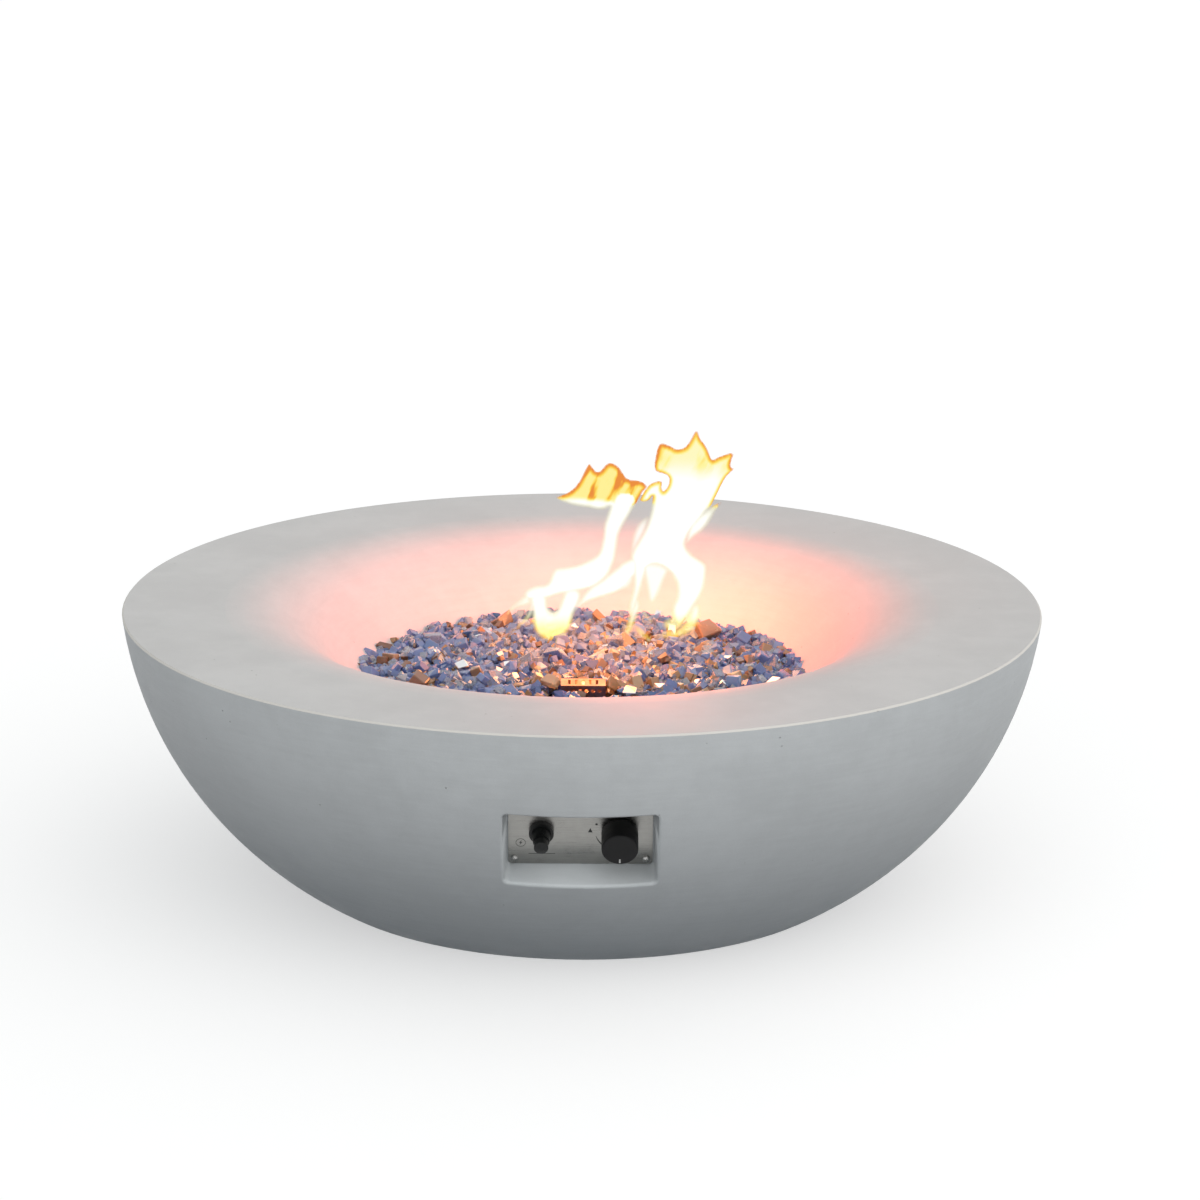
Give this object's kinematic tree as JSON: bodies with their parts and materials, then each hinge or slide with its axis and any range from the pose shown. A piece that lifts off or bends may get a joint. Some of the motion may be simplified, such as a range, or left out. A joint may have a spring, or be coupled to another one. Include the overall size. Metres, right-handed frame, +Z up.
{
  "type": "gas fire bowl",
  "caption": "Round concrete gas fire bowl with a flat rim and a dished fire-glass bed, and a recessed control panel with a gas knob and an igniter button.",
  "frame": {"origin": "centre of the flat base, on the floor", "axes": "+Z up, the control recess faces -Y, +X to the right when facing the controls"},
  "size_m": [1.0793, 1.0794, 0.33],
  "materials": {
    "shell_concrete": "smooth grey glass-fibre concrete, satin sealer",
    "dish_concrete": "smooth grey glass-fibre concrete, satin sealer",
    "stainless_sheet": "brushed",
    "burner_steel": "heat-tinted stainless",
    "fastener_steel": "plain stainless",
    "zinc_steel": "zinc plated",
    "spring_steel": "plain",
    "brass": "machined",
    "cast_aluminium": "die cast",
    "cast_mixer": "rough cast",
    "fire_glass": "broken tempered glass, slate blue",
    "lava_rock": "porous",
    "white_ceramic": "unglazed",
    "black_knob": "satin",
    "black_igniter": "semi-gloss",
    "white_mark": "moulded",
    "hose_rubber": "smooth hose cover",
    "lead_sheath": "silicone sleeve",
    "copper_capillary": "bare copper",
    "battery_jacket": "plain grey jacket"
  },
  "bodies": {
    "bowl": {"bowl_shell": "shell_concrete", "top_dish": "dish_concrete", "pan_inserts": "brass", "panel_inserts": "brass", "pan_screws": "fastener_steel", "panel_screws": "fastener_steel", "panel_washers": "fastener_steel", "pilot_screws": "fastener_steel", "burner_pan": "burner_steel", "ring_burner": "burner_steel", "burner_feet": "burner_steel", "lava_rock_layer": "lava_rock", "fire_glass_bed": "fire_glass", "pilot_guard": "burner_steel", "pilot_bracket": "burner_steel", "electrode_insulator": "white_ceramic", "spark_electrode": "fastener_steel", "thermocouple_probe": "burner_steel", "burner_nipple": "zinc_steel", "nipple_washer": "zinc_steel", "nipple_locknut": "zinc_steel", "burner_elbow": "cast_mixer", "air_mixer": "cast_mixer", "shutter_washer": "zinc_steel", "gas_orifice": "brass", "hose_nuts": "brass", "hose_ferrules": "zinc_steel", "burner_hose": "hose_rubber", "supply_hose": "hose_rubber", "gas_inlet_fitting": "brass", "inlet_washer": "zinc_steel", "inlet_locknut": "brass", "control_panel": "stainless_sheet", "valve_body": "cast_aluminium", "valve_nut": "zinc_steel", "safety_magnet": "brass", "igniter_housing": "black_igniter", "igniter_locknut": "black_igniter", "igniter_cap": "black_igniter", "igniter_spring": "spring_steel", "igniter_battery": "battery_jacket", "igniter_terminals": "brass", "ignition_lead": "lead_sheath", "ground_lead": "hose_rubber", "thermocouple_lead": "copper_capillary"},
    "valve_push": {"valve_push_rod": "fastener_steel"},
    "knob": {"control_knob": "black_knob", "knob_pointer": "white_mark", "knob_grub_screw": "fastener_steel", "valve_spindle": "zinc_steel"},
    "plug": {"valve_plug": "brass", "valve_spring": "spring_steel"},
    "igniter_push": {"igniter_button": "black_igniter"},
    "shutter": {"air_shutter": "zinc_steel"}
  },
  "joints": [
    {"name": "knob_push", "type": "slide", "parent": "bowl", "child": "valve_push", "axis": [0, 0.9397, 0.342], "range_m": [0, 0.004], "stiffness_N_per_m": 900, "springref_m": -0.004, "deforming": ["valve_spring"]},
    {"name": "knob_turn", "type": "hinge", "parent": "valve_push", "child": "knob", "pos_m": [0.0425, -0.4493, 0.1952], "axis": [0, -0.9397, -0.342], "range_deg": [-180, 0]},
    {"name": "plug_turn", "type": "hinge", "parent": "bowl", "child": "plug", "pos_m": [0.0425, -0.4493, 0.1952], "axis": [0, -0.9397, -0.342], "range_deg": [-180, 0]},
    {"name": "igniter_press", "type": "slide", "parent": "bowl", "child": "igniter_push", "axis": [0, 0.9397, 0.342], "range_m": [0, 0.005], "stiffness_N_per_m": 500, "springref_m": -0.004, "deforming": ["igniter_spring"]},
    {"name": "air_shutter_turn", "type": "hinge", "parent": "bowl", "child": "shutter", "pos_m": [0.076, 0, 0.15], "axis": [1, 0, 0], "range_deg": [0, 60]}
  ],
  "couplings": [
    {"joint": "plug_turn", "follows": "knob_turn", "ratio": 1}
  ]
}
